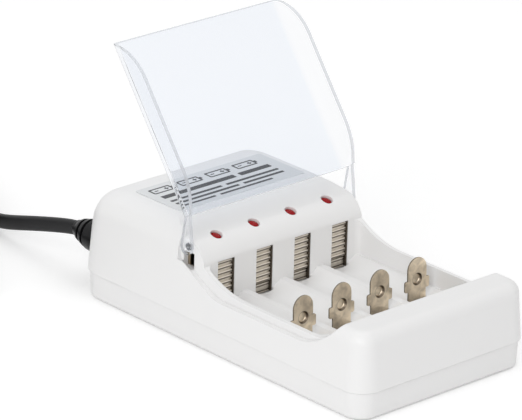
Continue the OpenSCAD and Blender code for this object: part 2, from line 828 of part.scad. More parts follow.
// Charging lamp: lens with a domed tip, flange and two leads to the board
module lamp(x) {
    base = panel_r - lamp_sink - lamp_len;
    dome_r = 0.85 * lamp_d;
    color("darkred") {
        at_lamp(x) {
            translate([0, 0, base]) intersection() {
                cylinder(d = lamp_d, h = lamp_len);
                translate([0, 0, lamp_len - dome_r]) sphere(dome_r);
            }
            translate([0, 0, base]) cylinder(r = lamp_flange_r, h = lamp_rim_h);
            for (s = [-1, 1]) translate([s * lamp_lead_x - lead_w / 2, -lead_w / 2, base - lamp_lead_len])
                cube([lead_w, lead_w, lamp_lead_len + eps]);
        }
        foot_y = panel_c[0] - (base - lamp_lead_bend) * sin(lamp_tilt);
        foot_z0 = panel_c[1] + (base - lamp_lead_bend) * cos(lamp_tilt);
        for (s = [-1, 1])
            span(
                [x + s * lamp_lead_x - lead_w / 2, board_y + board_t, foot_z0 - lead_w / 2],
                [x + s * lamp_lead_x + lead_w / 2, foot_y, foot_z0 + lead_w / 2]
            );
    }
}

// Vertical board behind the bay wall, standing on the tray's floor
module circuit_board() {
    color("sienna") span([-board_half, board_y, wall], [board_half, board_y + board_t, board_top]);
}

// Tags behind the board's ends, seen through the windows at the hinges
module supply_tags() {
    y = board_y + board_t;
    color("tan") for (m = [0, 1]) mirror([m, 0, 0]) {
        span([tag_out - tag_foot, y, tag_low], [tag_out, y + sheet_t, tag_low + tag_link]);
        span([tag_out - sheet_t, y, tag_low], [tag_out, y + tag_reach, tag_low + tag_link]);
        span([tag_out - sheet_t, y + tag_reach - tag_w, tag_low], [tag_out, y + tag_reach, tag_high]);
    }
}

// Axial component on the back of the board, lying along X
module axial_part(x, z, body_d, body_len, span_x) {
    lead_d = axial_lead_d;
    y = board_y + board_t + body_d / 2 + axial_gap;
    translate([x, y, z]) rotate([0, 90, 0]) {
        cylinder(d = body_d, h = body_len, center = true);
        cylinder(d = lead_d, h = span_x, center = true, $fn = 24);
    }
    for (s = [-1, 1]) translate([x + s * (span_x - lead_d) / 2, board_y + board_t, z]) rotate([-90, 0, 0])
        cylinder(d = lead_d, h = y - board_y - board_t, $fn = 24);
}

// Rectifier diodes, one for each lane
module rectifier_diodes() {
    color("dimgray") for (x = lane_x)
        axial_part(x, part_z + diode_up, diode_d, diode_len, diode_span);
}

// Resistors that set the charging current, one for each lane
module charge_resistors() {
    color("burlywood") for (x = lane_x)
        axial_part(x, part_z + resistor_up, resistor_d, resistor_len, resistor_span);
}

// Laminated core with two windows, standing on the tray's floor
module transformer_core() {
    color("slategray") along_y(core_y - core_stack / 2, core_y + core_stack / 2) difference() {
        translate([-core_w / 2, wall]) square([core_w, core_h]);
        for (x = [-core_leg / 2 - core_window_w, core_leg / 2]) translate([x, wall + core_leg / 2])
            square([core_window_w, core_window_h]);
    }
}

// Wound bobbin on the core's centre leg
module transformer_winding() {
    half_x = core_leg / 2 + core_window_w - winding_gap;
    half_y = core_stack / 2 + core_window_w - winding_gap;
    low = wall + core_leg / 2;
    r = winding_r;
    color("peru") translate([0, core_y, low]) difference() {
        linear_extrude(core_window_h - winding_gap) {
            translate([r - half_x, -half_y]) square([2 * (half_x - r), 2 * half_y]);
            translate([-half_x, r - half_y]) square([2 * half_x, 2 * (half_y - r)]);
            for (sx = [-1, 1], sy = [-1, 1]) translate([sx * (half_x - r), sy * (half_y - r)]) circle(r);
        }
        span(
            [-core_leg / 2 - winding_gap, -core_stack / 2 - winding_gap, -over],
            [core_leg / 2 + winding_gap, core_stack / 2 + winding_gap, core_h]
        );
    }
}

// Plain label on the block's flat top
module top_label() {
    color("silver") span(
        [-label_w / 2, panel_y + label_gap, body_h],
        [label_w / 2, panel_y + label_gap + label_len, body_h + label_t]
    );
}

// Screws that hold the two shells together
module housing_screws() {
    color("darkgray") for (p = screw_at) translate([p[0], p[1], head_seat]) {
        difference() {
            translate([0, 0, -head_h]) cylinder(r = head_r, h = head_h);
            for (a = [0, 90]) rotate([0, 0, a])
                span(
                    [-cross_half, -cross_t / 2, -head_h - over],
                    [cross_half, cross_t / 2, cross_deep - head_h]
                );
        }
        cylinder(d = screw_d, h = screw_len);
    }
}

// Strain relief: lip inside the wall, neck, flange and short bell round the cord
module strain_relief() {
    lip_r = outlet_r + lip_wide;
    color("black") at_outlet() rotate_extrude() polygon(concat([
        [0, -relief_in], [lip_r, -relief_in], [lip_r, lip_t - relief_in], [outlet_r, lip_t - relief_in],
        [outlet_r, 0], [relief_flange_r, 0], [relief_flange_r, 1.6]
    ], bell, [[0, bell[len(bell) - 1][1]]]));
}

// Flat twin cord on edge, from the strain relief down to the coil
module mains_cord() {
    color("black") swept_tube(cord_route, [0, 0, 1], cord_t / 2, cord_w / 2, cord_side);
}

// Outer form of the stored coil
module cord_coil() {
    color("black") translate([coil_at[0], coil_at[1], coil_z]) rotate_extrude($fn = 96)
        translate([coil_r - coil_wide / 2, 0]) {
            translate([coil_round, 0]) square([coil_wide - 2 * coil_round, coil_h]);
            translate([0, coil_round]) square([coil_wide, coil_h - 2 * coil_round]);
            for (x = [coil_round, coil_wide - coil_round], z = [coil_round, coil_h - coil_round])
                translate([x, z]) circle(coil_round, $fn = 32);
        }
}

// Band round the coil
module coil_tie() {
    in_half = coil_wide / 2 + tie_gap;
    low = coil_z - tie_gap;
    high = coil_z + coil_h + tie_gap;
    color("dimgray") translate([coil_at[0], coil_at[1] + coil_r, 0]) difference() {
        span(
            [-tie_len / 2, -in_half - tie_sag - tie_t, low - tie_t],
            [tie_len / 2, in_half + tie_t, high + tie_t]
        );
        span([-tie_len, -in_half - tie_sag, low], [tie_len, in_half, high]);
    }
}

// Short lead from the coil to the plug
module plug_lead() {
    color("black") swept_tube(lead_route, [0, 0, 1], cord_t / 2, cord_w / 2, cord_side);
}

// Moulded plug: waisted grip with a flat front face, lying on its side
module plug_body() {
    color("black") translate(plug_at) {
        intersection() {
            translate([0, 0, -plug_h / 2]) linear_extrude(plug_h) plug_plan();
            across_x(-plug_w, plug_w) plug_side();
        }
    }
}

// Plan of the plug's body
module plug_plan() {
    r = 4;
    polygon([[-5, 0], [5, 0], [plug_w / 2, -12], [plug_w / 2, r - plug_len], [plug_w / 2 - r, -plug_len],
        [r - plug_w / 2, -plug_len], [-plug_w / 2, r - plug_len], [-plug_w / 2, -12]]);
}

// Side outline of the plug's body
module plug_side() {
    half = plug_h / 2;
    polygon([[0, 3], [-12, half], [-plug_len, half], [-plug_len, -half], [-12, -half], [0, -3]]);
}

// Two flat blades with round holes near the tip
module plug_blades() {
    color("silver") for (s = [-1, 1])
        translate([plug_at[0] + s * blade_pitch / 2, plug_at[1] - plug_len, plug_at[2]]) difference() {
            span([-blade_t / 2, -blade_len, -blade_w / 2], [blade_t / 2, 0, blade_w / 2]);
            translate([0, blade_hole_in - blade_len, 0]) rotate([0, 90, 0])
                cylinder(d = blade_hole_d, h = 2 * blade_t, center = true);
        }
}

base_tray();
top_cover();
clear_lid();
ribbed_contact(lane_x[0]);  // ribbed_contact_1
ribbed_contact(lane_x[1]);  // ribbed_contact_2
ribbed_contact(lane_x[2]);  // ribbed_contact_3
ribbed_contact(lane_x[3]);  // ribbed_contact_4
sliding_contact(lane_x[0]);  // sliding_contact_1
sliding_contact(lane_x[1]);  // sliding_contact_2
sliding_contact(lane_x[2]);  // sliding_contact_3
sliding_contact(lane_x[3]);  // sliding_contact_4
contact_spring(lane_x[0]);  // contact_spring_1
contact_spring(lane_x[1]);  // contact_spring_2
contact_spring(lane_x[2]);  // contact_spring_3
contact_spring(lane_x[3]);  // contact_spring_4
lamp(lamp_x[0]);  // lamp_1
lamp(lamp_x[1]);  // lamp_2
lamp(lamp_x[2]);  // lamp_3
lamp(lamp_x[3]);  // lamp_4
circuit_board();
supply_tags();
rectifier_diodes();
charge_resistors();
transformer_core();
transformer_winding();
top_label();
housing_screws();
strain_relief();
mains_cord();
cord_coil();
coil_tie();
plug_lead();
plug_body();
plug_blades();
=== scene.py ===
"""Looks of the four-lane battery charger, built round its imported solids."""

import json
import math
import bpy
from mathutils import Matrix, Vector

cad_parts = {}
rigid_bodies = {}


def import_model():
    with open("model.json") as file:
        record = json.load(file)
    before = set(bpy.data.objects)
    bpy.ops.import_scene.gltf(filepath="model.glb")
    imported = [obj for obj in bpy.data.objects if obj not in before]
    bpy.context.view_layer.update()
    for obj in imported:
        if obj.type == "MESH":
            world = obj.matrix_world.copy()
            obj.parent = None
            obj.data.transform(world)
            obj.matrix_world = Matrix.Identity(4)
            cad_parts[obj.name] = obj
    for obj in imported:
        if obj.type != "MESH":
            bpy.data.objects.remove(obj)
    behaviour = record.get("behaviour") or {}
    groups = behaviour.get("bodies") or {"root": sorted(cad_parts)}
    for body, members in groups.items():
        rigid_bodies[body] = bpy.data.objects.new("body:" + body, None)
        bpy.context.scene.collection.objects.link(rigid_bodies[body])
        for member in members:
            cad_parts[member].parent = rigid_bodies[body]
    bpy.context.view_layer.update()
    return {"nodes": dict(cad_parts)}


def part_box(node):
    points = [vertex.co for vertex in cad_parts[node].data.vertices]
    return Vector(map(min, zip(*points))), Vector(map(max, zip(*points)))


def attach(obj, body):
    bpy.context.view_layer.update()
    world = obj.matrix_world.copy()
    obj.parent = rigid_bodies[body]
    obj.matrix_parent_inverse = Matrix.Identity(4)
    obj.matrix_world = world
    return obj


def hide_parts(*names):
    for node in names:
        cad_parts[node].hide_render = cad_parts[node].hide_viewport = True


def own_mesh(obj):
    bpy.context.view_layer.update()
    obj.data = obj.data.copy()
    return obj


bl_info = {
    "name": "Battery Charger",
    "version": (1, 0, 0),
    "blender": (4, 5, 0),
    "location": "3D View > Sidebar > Charger",
    "description": "Dresses a four-lane battery charger with its finishes, lead, label and stage",
    "category": "Object",
}

import bmesh
import bpy
from mathutils import Matrix, Vector

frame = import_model()
LANES = (1, 2, 3, 4)
MM = 0.001

# Copies of solids: distance under which their points merge, and turn under which faces count as flat
MERGE_DISTANCE = 0.000002
FLAT_TURN = math.radians(1.0)


# Settings


class ChargerLead(bpy.types.PropertyGroup):
    """Sizes of the mains lead and its stored coil"""

    width: bpy.props.FloatProperty(
        name="Cord width", description="Width of the flat twin cord", default=0.005, unit="LENGTH"
    )
    thickness: bpy.props.FloatProperty(
        name="Cord thickness", description="Thickness of the flat twin cord", default=0.003, unit="LENGTH"
    )
    coil_radius: bpy.props.FloatProperty(
        name="Coil radius", description="Radius of the coil's outermost turn", default=0.032, unit="LENGTH"
    )
    coil_pitch: bpy.props.FloatProperty(
        name="Coil pitch", description="Distance between neighbouring turns", default=0.0031, unit="LENGTH"
    )
    coil_turns: bpy.props.FloatProperty(
        name="Coil turns", description="Turns of the stored coil, in two layers", default=6.5
    )
    colour: bpy.props.FloatVectorProperty(
        name="Cord colour", description="Colour of the cord, its relief and the plug", subtype="COLOR",
        size=3, default=(0.012, 0.012, 0.013),
    )


class ChargerFinish(bpy.types.PropertyGroup):
    """Colours of the charger's surfaces"""

    shell: bpy.props.FloatVectorProperty(
        name="Shell", description="Colour of the moulded shells", subtype="COLOR", size=3,
        default=(0.85, 0.847, 0.845),
    )
    lid: bpy.props.FloatVectorProperty(
        name="Lid", description="Tint of the clear lid", subtype="COLOR", size=3,
        default=(0.885, 0.91, 0.95),
    )
    nickel: bpy.props.FloatVectorProperty(
        name="Nickel", description="Colour of the plated contacts", subtype="COLOR", size=3,
        default=(0.70, 0.60, 0.46),
    )
    lamp: bpy.props.FloatVectorProperty(
        name="Lamp", description="Colour of the unlit lamps", subtype="COLOR", size=3,
        default=(0.32, 0.003, 0.006),
    )
    label: bpy.props.FloatVectorProperty(
        name="Label", description="Colour of the label's film", subtype="COLOR", size=3,
        default=(0.72, 0.732, 0.738),
    )
    ink: bpy.props.FloatVectorProperty(
        name="Ink", description="Colour of the label's printed marks", subtype="COLOR", size=3,
        default=(0.055, 0.057, 0.062),
    )
    board: bpy.props.FloatVectorProperty(
        name="Board", description="Colour of the circuit board", subtype="COLOR", size=3,
        default=(0.30, 0.15, 0.06),
    )


class ChargerStage(bpy.types.PropertyGroup):
    """Camera and light"""

    place: bpy.props.FloatVectorProperty(
        name="Camera place", description="Where the camera stands", subtype="TRANSLATION", unit="LENGTH",
        size=3, default=(-0.82731, -0.87900, 0.52261),
    )
    azimuth: bpy.props.FloatProperty(
        name="Azimuth", description="Turn of the camera about the upright", subtype="ANGLE",
        default=math.radians(-42.67),
    )
    elevation: bpy.props.FloatProperty(
        name="Elevation", description="Height of the camera above the horizon", subtype="ANGLE",
        default=math.radians(21.83),
    )
    roll: bpy.props.FloatProperty(
        name="Roll", description="Tilt of the picture", subtype="ANGLE", default=math.radians(1.51)
    )
    lens: bpy.props.FloatProperty(
        name="Lens", description="Focal length for a sensor 36 mm wide", unit="CAMERA", default=290.0
    )
    key: bpy.props.FloatProperty(
        name="Key light", description="Power of the large lamp before the charger", unit="POWER",
        default=10.0,
    )
    top: bpy.props.FloatProperty(
        name="Top light", description="Power of the lamp above the charger", unit="POWER", default=4.0
    )
    ambient: bpy.props.FloatProperty(
        name="Ambient", description="Strength of the light from all round", default=0.62
    )


# Selection and editing


def deselect():
    """Leave edit mode and clear the selection."""
    if bpy.context.mode != "OBJECT":
        bpy.ops.object.mode_set(mode="OBJECT")
    bpy.ops.object.select_all(action="DESELECT")


def activate(piece):
    """Make one piece the only selected and active object."""
    deselect()
    piece.select_set(True)
    bpy.context.view_layer.objects.active = piece
    return piece


def named(name):
    """Name the object that an operator has just added."""
    piece = bpy.context.object
    piece.name = name
    piece.data.name = name
    return piece


def shape(piece, work):
    """Run work on the piece's edit mesh, then leave edit mode."""
    activate(piece)
    bpy.ops.object.mode_set(mode="EDIT")
    work(bmesh.from_edit_mesh(piece.data))
    bpy.ops.object.mode_set(mode="OBJECT")


def select_faces(mesh, test):
    """Select the faces that pass the test, and nothing else."""
    bpy.ops.mesh.select_all(action="DESELECT")
    bpy.ops.mesh.select_mode(type="FACE")
    for face in mesh.faces:
        face.select_set(test(face))
    mesh.select_flush_mode()


def select_edges(mesh, test):
    """Select the edges that pass the test, and nothing else."""
    bpy.ops.mesh.select_all(action="DESELECT")
    bpy.ops.mesh.select_mode(type="EDGE")
    for edge in mesh.edges:
        edge.select_set(test(edge))
    mesh.select_flush_mode()


def join_flat_faces():
    """Join the triangles of each flat face, so that bevels find only real edges."""
    bpy.ops.mesh.select_all(action="SELECT")
    bpy.ops.mesh.dissolve_limited(angle_limit=FLAT_TURN)


def face_outwards(mesh):
    """Turn every face to the outside."""
    bpy.ops.mesh.select_all(action="SELECT")
    bpy.ops.mesh.normals_make_consistent(inside=False)


def settle(piece):
    """Put the piece's place into its mesh, so that its object sits at the origin."""
    activate(piece)
    bpy.ops.object.transform_apply(location=True, rotation=True, scale=True)


def smooth(piece, degrees=35.0):
    """Smooth shading, with edges kept sharp above an angle."""
    activate(piece)
    bpy.ops.object.shade_smooth_by_angle(angle=math.radians(degrees))


def finish_with(piece, material, body=None, replaces=()):
    """Give a piece its material, body and the solids it stands for."""
    piece.data.materials.clear()
    piece.data.materials.append(material)
    if body:
        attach(piece, body)
    if replaces:
        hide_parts(*replaces)
    return piece


def coat(node, material):
    """Give a CAD solid its material."""
    piece = frame["nodes"][node]
    piece.data.materials.clear()
    piece.data.materials.append(material)
    return piece


def new_piece(name, mesh):
    """An object at the origin for a mesh, both under one name."""
    mesh.name = name
    piece = bpy.data.objects.new(name, mesh)
    bpy.context.scene.collection.objects.link(piece)
    return piece


def copy_of(node, name):
    """A merged copy of a CAD solid, to be refined."""
    piece = activate(new_piece(name, frame["nodes"][node].data.copy()))
    if piece.data.has_custom_normals:
        bpy.ops.mesh.customdata_custom_splitnormals_clear()
    bpy.ops.object.mode_set(mode="EDIT")
    bpy.ops.mesh.select_all(action="SELECT")
    bpy.ops.mesh.remove_doubles(threshold=MERGE_DISTANCE)
    bpy.ops.object.mode_set(mode="OBJECT")
    return piece


# Shader parts


def group(name, inputs, outputs):
    """A new shader node group with its sockets, and its nodes and links."""
    tree = bpy.data.node_groups.new(name, "ShaderNodeTree")
    for label, kind, value in inputs:
        socket = tree.interface.new_socket(name=label, in_out="INPUT", socket_type=kind)
        if value is not None:
            socket.default_value = value
    for label, kind in outputs:
        tree.interface.new_socket(name=label, in_out="OUTPUT", socket_type=kind)
    return tree, tree.nodes.new("NodeGroupInput"), tree.nodes.new("NodeGroupOutput")


def node(tree, kind, links=(), **values):
    """Add a node, set its properties and sockets, and link its inputs."""
    made = tree.nodes.new(kind)
    for key, value in values.items():
        if hasattr(made, key):
            setattr(made, key, value)
        else:
            made.inputs[key.replace("_", " ")].default_value = value
    for socket, source in links:
        tree.links.new(source, made.inputs[socket])
    return made


def math_node(tree, operation, first, second=None):
    """A Math node with linked or plain inputs."""
    made = tree.nodes.new("ShaderNodeMath")
    made.operation = operation
    for index, value in enumerate((first, second)):
        if isinstance(value, (int, float)):
            made.inputs[index].default_value = value
        elif value is not None:
            tree.links.new(value, made.inputs[index])
    return made.outputs[0]


def scaled(tree, colour, amount):
    """A colour times an amount."""
    made = node(tree, "ShaderNodeVectorMath", [(0, colour), ("Scale", amount)], operation="SCALE")
    return made.outputs[0]


FLOAT, COLOUR, VECTOR = "NodeSocketFloat", "NodeSocketColor", "NodeSocketVector"

# Streaks of rolled or drawn metal: how close they lie along X, Y and Z
STREAKS_UP = (900.0, 900.0, 60.0)
STREAKS_ALONG = (60.0, 900.0, 900.0)
STREAKS_SHEARED = (60.0, 60.0, 900.0)
STREAKS_WIRE = (200.0, 900.0, 200.0)
STREAKS_STACKED = (60.0, 1800.0, 60.0)
STREAKS_TURNED = (600.0, 600.0, 600.0)


def moulded_group():
    """Moulded plastic: faint tone drift, fine grain and uneven gloss."""
    tree, given, made = group(
        "moulded_surface",
        [
            ("Colour", COLOUR, None), ("Drift", FLOAT, 0.02),
            ("Gloss", FLOAT, 0.35), ("Grain", FLOAT, 2500.0),
        ],
        [("Colour", COLOUR), ("Roughness", FLOAT), ("Height", FLOAT)],
    )
    place = node(tree, "ShaderNodeTexCoord").outputs["Object"]
    broad = node(tree, "ShaderNodeTexNoise", [("Vector", place)], Scale=28.0, Detail=3.0, Roughness=0.5)
    fine = node(
        tree, "ShaderNodeTexNoise", [("Vector", place), ("Scale", given.outputs["Grain"])],
        Detail=2.0, Roughness=0.6,
    )
    swing = math_node(tree, "SUBTRACT", broad.outputs["Fac"], 0.5)
    shade = math_node(tree, "MULTIPLY_ADD", swing, given.outputs["Drift"])
    shade.node.inputs[2].default_value = 1.0
    tint = scaled(tree, given.outputs["Colour"], shade)
    rough = math_node(tree, "MULTIPLY_ADD", swing, 0.16)
    tree.links.new(given.outputs["Gloss"], rough.node.inputs[2])
    tree.links.new(tint, made.inputs["Colour"])
    tree.links.new(rough, made.inputs["Roughness"])
    tree.links.new(fine.outputs["Fac"], made.inputs["Height"])
    return tree


def drawn_group():
    """Rolled or drawn metal: long fine streaks along one axis, with small dull spots."""
    tree, given, made = group(
        "drawn_metal",
        [("Colour", COLOUR, None), ("Stretch", VECTOR, STREAKS_UP), ("Gloss", FLOAT, 0.3)],
        [("Colour", COLOUR), ("Roughness", FLOAT), ("Height", FLOAT)],
    )
    place = node(tree, "ShaderNodeTexCoord").outputs["Object"]
    along = node(
        tree, "ShaderNodeVectorMath", [(0, place), (1, given.outputs["Stretch"])], operation="MULTIPLY"
    )
    streak = node(tree, "ShaderNodeTexNoise", [("Vector", along.outputs[0])], Scale=1.0, Detail=2.0)
    spots = node(tree, "ShaderNodeTexNoise", [("Vector", place)], Scale=420.0, Detail=4.0, Roughness=0.65)
    dull = node(tree, "ShaderNodeMapRange", [("Value", spots.outputs["Fac"])], From_Min=0.5, From_Max=0.72)
    dark = math_node(tree, "MULTIPLY_ADD", dull.outputs[0], -0.12)
    dark.node.inputs[2].default_value = 1.0
    tint = scaled(tree, given.outputs["Colour"], dark)
    rough = math_node(tree, "MULTIPLY_ADD", streak.outputs["Fac"], 0.16)
    tree.links.new(given.outputs["Gloss"], rough.node.inputs[2])
    tree.links.new(tint, made.inputs["Colour"])
    tree.links.new(rough, made.inputs["Roughness"])
    tree.links.new(streak.outputs["Fac"], made.inputs["Height"])
    return tree


def principled(name):
    """A new material with its Principled shader."""
    material = bpy.data.materials.new(name)
    material.use_nodes = True
    tree = material.node_tree
    return material, tree, tree.nodes["Principled BSDF"]


def bumped(tree, shader, height, distance, strength=0.4, edge=0.0):
    """Feed a height into the shader's normal, over edges that look softened by a radius."""
    bump = node(tree, "ShaderNodeBump", [("Height", height)], Strength=strength, Distance=distance)
    if edge:
        soft = node(tree, "ShaderNodeBevel", samples=4, Radius=edge)
        tree.links.new(soft.outputs[0], bump.inputs["Normal"])
    tree.links.new(bump.outputs[0], shader.inputs["Normal"])


def moulded(name, colour, gloss, drift=0.02, grain=2500.0, depth=0.00002, edge=0.0003, shine=0.5):
    """Moulded plastic in one colour."""
    material, tree, shader = principled(name)
    shader.inputs["Specular IOR Level"].default_value = shine
    surface = node(tree, "ShaderNodeGroup", node_tree=bpy.data.node_groups["moulded_surface"])
    surface.inputs["Colour"].default_value = (*colour, 1.0)
    surface.inputs["Drift"].default_value = drift
    surface.inputs["Gloss"].default_value = gloss
    surface.inputs["Grain"].default_value = grain
    tree.links.new(surface.outputs["Colour"], shader.inputs["Base Color"])
    tree.links.new(surface.outputs["Roughness"], shader.inputs["Roughness"])
    bumped(tree, shader, surface.outputs["Height"], depth, edge=edge)
    return material


def plated(name, colour, gloss, stretch, edge=0.00012):
    """Rolled or drawn plated metal."""
    material, tree, shader = principled(name)
    surface = node(tree, "ShaderNodeGroup", node_tree=bpy.data.node_groups["drawn_metal"])
    surface.inputs["Colour"].default_value = (*colour, 1.0)
    surface.inputs["Gloss"].default_value = gloss
    surface.inputs["Stretch"].default_value = stretch
    tree.links.new(surface.outputs["Colour"], shader.inputs["Base Color"])
    tree.links.new(surface.outputs["Roughness"], shader.inputs["Roughness"])
    shader.inputs["Metallic"].default_value = 1.0
    bumped(tree, shader, surface.outputs["Height"], 0.00001, strength=0.25, edge=edge)
    return material


# Refraction of the clear plastic: low, so that light passes the lid's sides in few bounces
CLEAR_IOR = 1.12

# Distance from the middle at which the lid's tint turns paler as a painted reflection, and the stretch over
# which it does
LID_RIM, RIM_FADE = 0.0335, 0.002


def clear_plastic(name, tint, rim=None, clear=1.0):
    """Moulded clear plastic: one tint, or sides beyond the rim painted paler as a reflection, and a little
    haze.
    """
    material, tree, shader = principled(name)
    shader.inputs["Transmission Weight"].default_value = clear
    shader.inputs["IOR"].default_value = CLEAR_IOR
    place = node(tree, "ShaderNodeTexCoord").outputs["Object"]
    if rim is None:
        shader.inputs["Base Color"].default_value = (*tint, 1.0)
    else:
        axes = node(tree, "ShaderNodeSeparateXYZ", [("Vector", place)])
        side = math_node(tree, "ABSOLUTE", axes.outputs["X"])
        # Painted reflection: the tint turns paler on the lid's sides beyond the rim
        reflection_share = node(tree, "ShaderNodeMapRange", [("Value", side)], From_Min=rim - RIM_FADE, From_Max=rim)
        tone = node(tree, "ShaderNodeMix", [("Factor", reflection_share.outputs[0])], data_type="RGBA")
        tone.inputs["A"].default_value = (*tint, 1.0)
        tone.inputs["B"].default_value = (*(0.25 * part + 0.73 for part in tint), 1.0)
        tree.links.new(tone.outputs["Result"], shader.inputs["Base Color"])
    haze = node(tree, "ShaderNodeTexNoise", [("Vector", place)], Scale=60.0, Detail=5.0, Roughness=0.7)
    rough = node(
        tree, "ShaderNodeMapRange", [("Value", haze.outputs["Fac"])],
        From_Min=0.45, From_Max=0.8, To_Max=0.06,
    )
    tree.links.new(rough.outputs[0], shader.inputs["Roughness"])
    return material


# Lanes, ribs and dimples of the contacts, as the solids have them, and the radius of the ring of painted
# shade round a dimple
LANE_PITCH = 0.016
RIB_PITCH = 0.00175
RIB_LOW = 0.0152 + RIB_PITCH / 2
DIMPLE_Z = 0.0191
DIMPLE_RING = 0.0018

# Where a ribbed contact's side bends back, and the dark tones painted on the contacts: shade in the rib
# grooves and on that side, and the tongues' random blotches with painted shade round their dimples
BEND_START, BEND_END = 0.0028, 0.0029
GROOVE_AND_SIDE_SHADE = (0.05, 0.035, 0.025)
BLOTCH_AND_DIMPLE_SHADE = (0.07, 0.05, 0.035)


def lane_axes(tree):
    """Distance across a lane from its middle, and height, in metres."""
    place = node(tree, "ShaderNodeTexCoord").outputs["Object"]
    axes = node(tree, "ShaderNodeSeparateXYZ", [("Vector", place)])
    turn = math_node(tree, "FRACT", math_node(tree, "DIVIDE", axes.outputs["X"], LANE_PITCH))
    across = math_node(tree, "MULTIPLY", math_node(tree, "SUBTRACT", turn, 0.5), LANE_PITCH)
    return across, axes.outputs["Z"]


def darkened(material, mask, shade):
    """Mix a dark shade over a material's colour where the mask says."""
    tree = material.node_tree
    base = tree.nodes["Principled BSDF"].inputs["Base Color"]
    plain = base.links[0].from_socket
    tone = node(tree, "ShaderNodeMix", [("Factor", mask), ("A", plain)], data_type="RGBA")
    tone.inputs["B"].default_value = (*shade, 1.0)
    tree.links.new(tone.outputs["Result"], base)
    return material


def ribbed_metal(name, colour, gloss):
    """Plated sheet with painted shade in the grooves between its ribs and along the side that bends back.
    """
    material = plated(name, colour, gloss, STREAKS_ALONG)
    tree = material.node_tree
    across, height = lane_axes(tree)
    up = math_node(tree, "SUBTRACT", height, RIB_LOW)
    turn = math_node(tree, "FRACT", math_node(tree, "DIVIDE", up, RIB_PITCH))
    groove = math_node(tree, "ABSOLUTE", math_node(tree, "SUBTRACT", turn, 0.5))
    # Painted shade, darkest in the grooves between the ribs
    groove_shade = node(
        tree, "ShaderNodeMapRange", [("Value", groove)], From_Min=0.17, From_Max=0.07, To_Max=0.88
    )
    # Painted shade on the side that bends back, at each lane's right
    side_shade = node(
        tree, "ShaderNodeMapRange", [("Value", across)],
        From_Min=BEND_START, From_Max=BEND_END, To_Max=0.9,
    )
    dark = math_node(tree, "MAXIMUM", groove_shade.outputs[0], side_shade.outputs[0])
    return darkened(material, dark, GROOVE_AND_SIDE_SHADE)


def tongue_metal(name, colour, gloss):
    """Plated tongue with random dark blotches, and painted shade in a ring round its dimple."""
    material = plated(name, colour, gloss, STREAKS_UP)
    tree = material.node_tree
    across, height = lane_axes(tree)
    up = math_node(tree, "SUBTRACT", height, DIMPLE_Z)
    square_across = math_node(tree, "POWER", across, 2.0)
    square_up = math_node(tree, "POWER", up, 2.0)
    far = math_node(tree, "SQRT", math_node(tree, "ADD", square_across, square_up))
    off = math_node(tree, "ABSOLUTE", math_node(tree, "SUBTRACT", far, DIMPLE_RING))
    # Painted shade in a ring round the dimple
    ring = node(
        tree, "ShaderNodeMapRange", [("Value", off)], From_Min=0.0004, From_Max=0.00015, To_Max=0.9
    )
    place = node(tree, "ShaderNodeTexCoord").outputs["Object"]
    cloud = node(
        tree, "ShaderNodeTexNoise", [("Vector", place)], Scale=330.0, Detail=2.0, Distortion=0.6
    )
    blotch = node(
        tree, "ShaderNodeMapRange", [("Value", cloud.outputs["Fac"])],
        From_Min=0.4, From_Max=0.75, To_Max=0.42,
    )
    dark = math_node(tree, "MAXIMUM", ring.outputs[0], blotch.outputs[0])
    return darkened(material, dark, BLOTCH_AND_DIMPLE_SHADE)


def lens_red(name, colour):
    """Tinted lens of an unlit lamp."""
    material, tree, shader = principled(name)
    surface = node(tree, "ShaderNodeGroup", node_tree=bpy.data.node_groups["moulded_surface"])
    surface.inputs["Colour"].default_value = (*colour, 1.0)
    surface.inputs["Drift"].default_value = 0.3
    surface.inputs["Gloss"].default_value = 0.16
    tree.links.new(surface.outputs["Colour"], shader.inputs["Base Color"])
    tree.links.new(surface.outputs["Roughness"], shader.inputs["Roughness"])
    shader.inputs["Specular IOR Level"].default_value = 0.15
    shader.inputs["Subsurface Weight"].default_value = 0.1
    shader.inputs["Subsurface Radius"].default_value = (0.002, 0.0003, 0.0003)
    return material


def shaded(colour, amount):
    """A setting's colour made darker or lighter."""
    return tuple(amount * part for part in colour)


